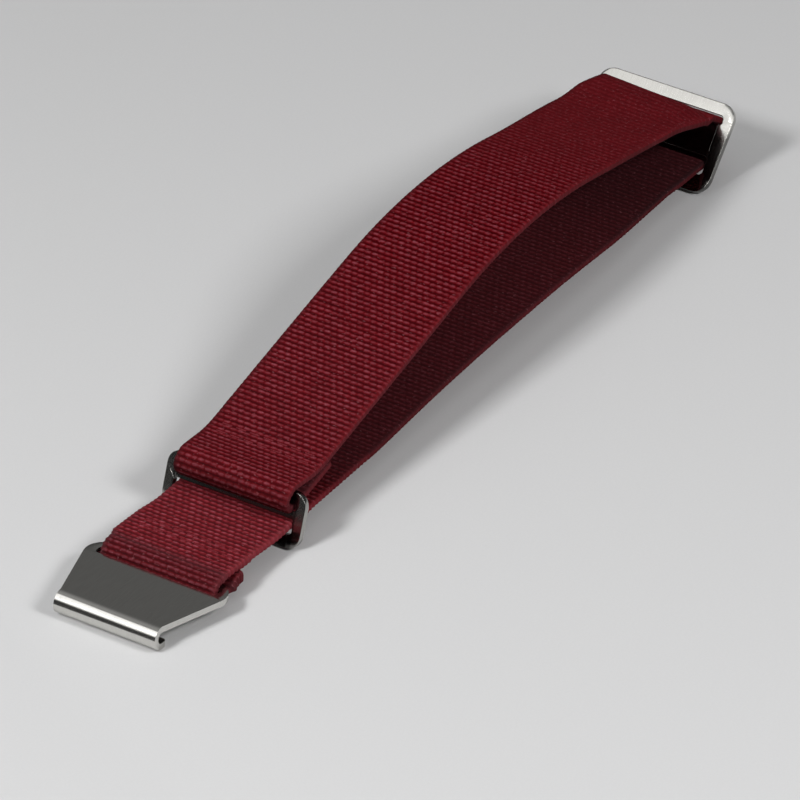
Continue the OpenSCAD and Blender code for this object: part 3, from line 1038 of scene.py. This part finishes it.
def ring_at(x, first, last):
    """Ring between two others whose middle is nearest to a place along the band."""
    return first + int(np.argmin(np.abs(LINE[first:last + 1, 0] - x)))


def side_point(x):
    return ((x - MID_X) * MM, 0.0, 0.0)


def build_webbing():
    material = webbing_material()
    lower_cut = ring_at(LOWER_CUT_X, FRONT_END, LOWER_END)
    upper_cut = ring_at(UPPER_CUT_X, TURN_END, UPPER_END)
    pieces = {
        "front_webbing": (0, FRONT_END),
        "lower_webbing_front": (FRONT_END, lower_cut),
        "lower_webbing_rear": (lower_cut, LOWER_END),
        "turn_webbing": (LOWER_END, TURN_END),
        "upper_webbing_rear": (TURN_END, upper_cut),
        "upper_webbing_front": (upper_cut, UPPER_END),
        "slider_webbing": (UPPER_END, LAST_RING),
    }
    made = {}
    for name, (first, last) in pieces.items():
        made[name] = webbing_mesh(name, first, last)
        made[name].data.materials.append(material)
    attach(made["front_webbing"], "band_front")
    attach(made["turn_webbing"], "buckle_end")
    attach(made["slider_webbing"], "webbing")
    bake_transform(made["lower_webbing_front"], "band_front", "webbing",
             start=side_point(LINE[FRONT_END, 0]), end=side_point(LINE[lower_cut, 0]))
    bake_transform(made["lower_webbing_rear"], "webbing", "buckle_end",
             start=side_point(LINE[lower_cut, 0]), end=side_point(BLEND_END_X))
    for name in ("upper_webbing_rear", "upper_webbing_front"):
        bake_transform(made[name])
    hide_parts("front_band")
    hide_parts("lower_run")
    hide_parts("buckle_loop")
    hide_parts("upper_run")
    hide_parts("slider_loop")


def build_threads():
    material = thread_material()
    fold = TURN_END + int(np.argmin(LINE[TURN_END:, 0]))
    hook_thread = seam("hook_thread", (0, HOOK_FOLD), (HOOK_FOLD, FRONT_END), side=1, end_ring=0)
    slider_thread = seam("slider_thread", (fold, LAST_RING), (TURN_END, fold), side=-1, end_ring=LAST_RING)
    for thread, body, cad_node in ((hook_thread, "band_front", "hook_stitching"),
                                   (slider_thread, "webbing", "slider_stitching")):
        thread.data.materials.append(material)
        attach(thread, body)
        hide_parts(cad_node)


# View: turned from the side view, from above, far off with a long lens
CAMERA_TURN = -57.3
CAMERA_RISE = 33.8
CAMERA_AWAY = 1.2
CAMERA_LENS = 362.9
CAMERA_SENSOR = 36
CAMERA_AIM = Vector((-4.59, -2.8, 0)) * MM


def view_axes():
    """Level way into the picture and to its right."""
    a = math.radians(CAMERA_TURN)
    into = Vector((-math.sin(a), math.cos(a), 0))
    return into, Vector((into.y, -into.x, 0))


def build_camera():
    into, _ = view_axes()
    rise = math.radians(CAMERA_RISE)
    forward = into * math.cos(rise) - Vector((0, 0, math.sin(rise)))
    data = bpy.data.cameras.new("camera")
    data.lens = CAMERA_LENS
    data.sensor_width = CAMERA_SENSOR
    camera = add_object("camera", data)
    camera.location = CAMERA_AIM - forward * CAMERA_AWAY
    camera.rotation_euler = forward.to_track_quat("-Z", "Y").to_euler()
    bpy.context.scene.camera = camera


# Ways to the lamps, to the right, into the picture and up as the camera sees them
LAMP_AWAY = 0.7
KEY_WAY = (-0.565, -0.48, 0.675)
FILL_WAY = (0.60, -0.45, 0.66)
RIM_WAY = (-0.70, -0.30, 0.65)
# Grey of the world, from the horizon and all below it to straight up
WORLD_GREYS = ((0.0, 0.04), (0.3, 0.06), (0.5, 0.13), (0.7, 0.16), (1.0, 0.5))


def softbox(name, seen_way, side, level, mirrored):
    """Square soft lamp that lights a level white floor to a level.

    It lights only the steel where it is mirrored, or else only what is matt.
    """
    into, across = view_axes()
    right, away, up = seen_way
    way = (across * right + into * away + Vector((0, 0, up))).normalized()
    data = bpy.data.lights.new(name, "AREA")
    data.shape = "SQUARE"
    data.size = side
    data.energy = level * (math.pi * LAMP_AWAY) ** 2 / way.z
    lamp = add_object(name, data)
    lamp.visible_glossy, lamp.visible_diffuse = mirrored, not mirrored
    lamp.location = way * LAMP_AWAY
    lamp.rotation_euler = (-way).to_track_quat("-Z", "Y").to_euler()


def build_lamps():
    softbox("key", KEY_WAY, side=0.14, level=0.447, mirrored=False)
    softbox("fill", FILL_WAY, side=0.18, level=0.334, mirrored=False)
    softbox("key_mirrored", KEY_WAY, side=0.24, level=0.42, mirrored=True)
    softbox("rim_mirrored", RIM_WAY, side=0.5, level=0.12, mirrored=True)
    softbox("fill_mirrored", FILL_WAY, side=0.4, level=0.30, mirrored=True)


def build_world():
    world = bpy.data.worlds.new("studio")
    bpy.context.scene.world = world
    world.use_nodes = True
    tree = world.node_tree
    where = node(tree, "ShaderNodeTexCoord")
    split = node(tree, "ShaderNodeSeparateXYZ")
    tree.links.new(where.outputs["Generated"], split.inputs["Vector"])
    grey = colour_ramp(tree, split.outputs["Z"], [(at, [level] * 3 + [1]) for at, level in WORLD_GREYS])
    tree.links.new(grey, tree.nodes["Background"].inputs["Color"])


# Black sheet that paints a dark reflection into the steel: the way that it runs from its near edge, and that
# edge's place and reach
FLAG_WAY = Vector((-0.893, 0.449, 0))
FLAG_AWAY = 0.035
FLAG_EDGE = Vector((-45, 11, 0.3)) * MM + FLAG_WAY * FLAG_AWAY
FLAG_RIGHT = 0.15
FLAG_LEFT = 0.25
FLAG_L = 0.6
FLAG_BLACK = (0.01, 0.01, 0.01, 1)


def build_flag():
    """Black sheet on the floor that only the steel sees: a painted dark reflection that makes the standing
    plates look dark.
    """
    side = Vector((-FLAG_WAY.y, FLAG_WAY.x, 0))
    right, left = FLAG_EDGE - side * FLAG_RIGHT, FLAG_EDGE + side * FLAG_LEFT
    corners = [right, left, left + FLAG_WAY * FLAG_L, right + FLAG_WAY * FLAG_L]
    mesh = bpy.data.meshes.new("flag")
    mesh.from_pydata([tuple(c) for c in corners], [], [(0, 1, 2, 3)])
    flag = add_object("flag", mesh)
    material, _, shader = new_material("painted_reflection_sheet")
    shader.inputs["Base Color"].default_value = FLAG_BLACK
    shader.inputs["Roughness"].default_value = 1.0
    mesh.materials.append(material)
    flag.visible_camera = flag.visible_diffuse = flag.visible_shadow = flag.visible_transmission = False


FLOOR_HALF = 3.0
FLOOR_PULP_SCALE = 2500.0
FLOOR_SHADES = ((0.2, (0.605, 0.605, 0.608, 1)), (0.8, (0.625, 0.625, 0.628, 1)))


def build_floor():
    half = FLOOR_HALF
    corners = [(-half, -half, 0), (half, -half, 0), (half, half, 0), (-half, half, 0)]
    mesh = bpy.data.meshes.new("floor")
    mesh.from_pydata(corners, [], [(0, 1, 2, 3)])
    floor = add_object("floor", mesh)
    material, tree, shader = new_material("floor_paper")
    where = node(tree, "ShaderNodeTexCoord")
    pulp = noise(tree, where.outputs["Object"], FLOOR_PULP_SCALE, 4.0)
    tree.links.new(colour_ramp(tree, pulp, FLOOR_SHADES), shader.inputs["Base Color"])
    add_bump(tree, shader, pulp, 0.05, 0.02 * MM)
    shader.inputs["Roughness"].default_value = 0.7
    mesh.materials.append(material)


build_webbing()
build_threads()
build_plates()
build_camera()
build_lamps()
build_world()
build_floor()
build_flag()
bpy.context.scene.view_settings.view_transform = "Standard"
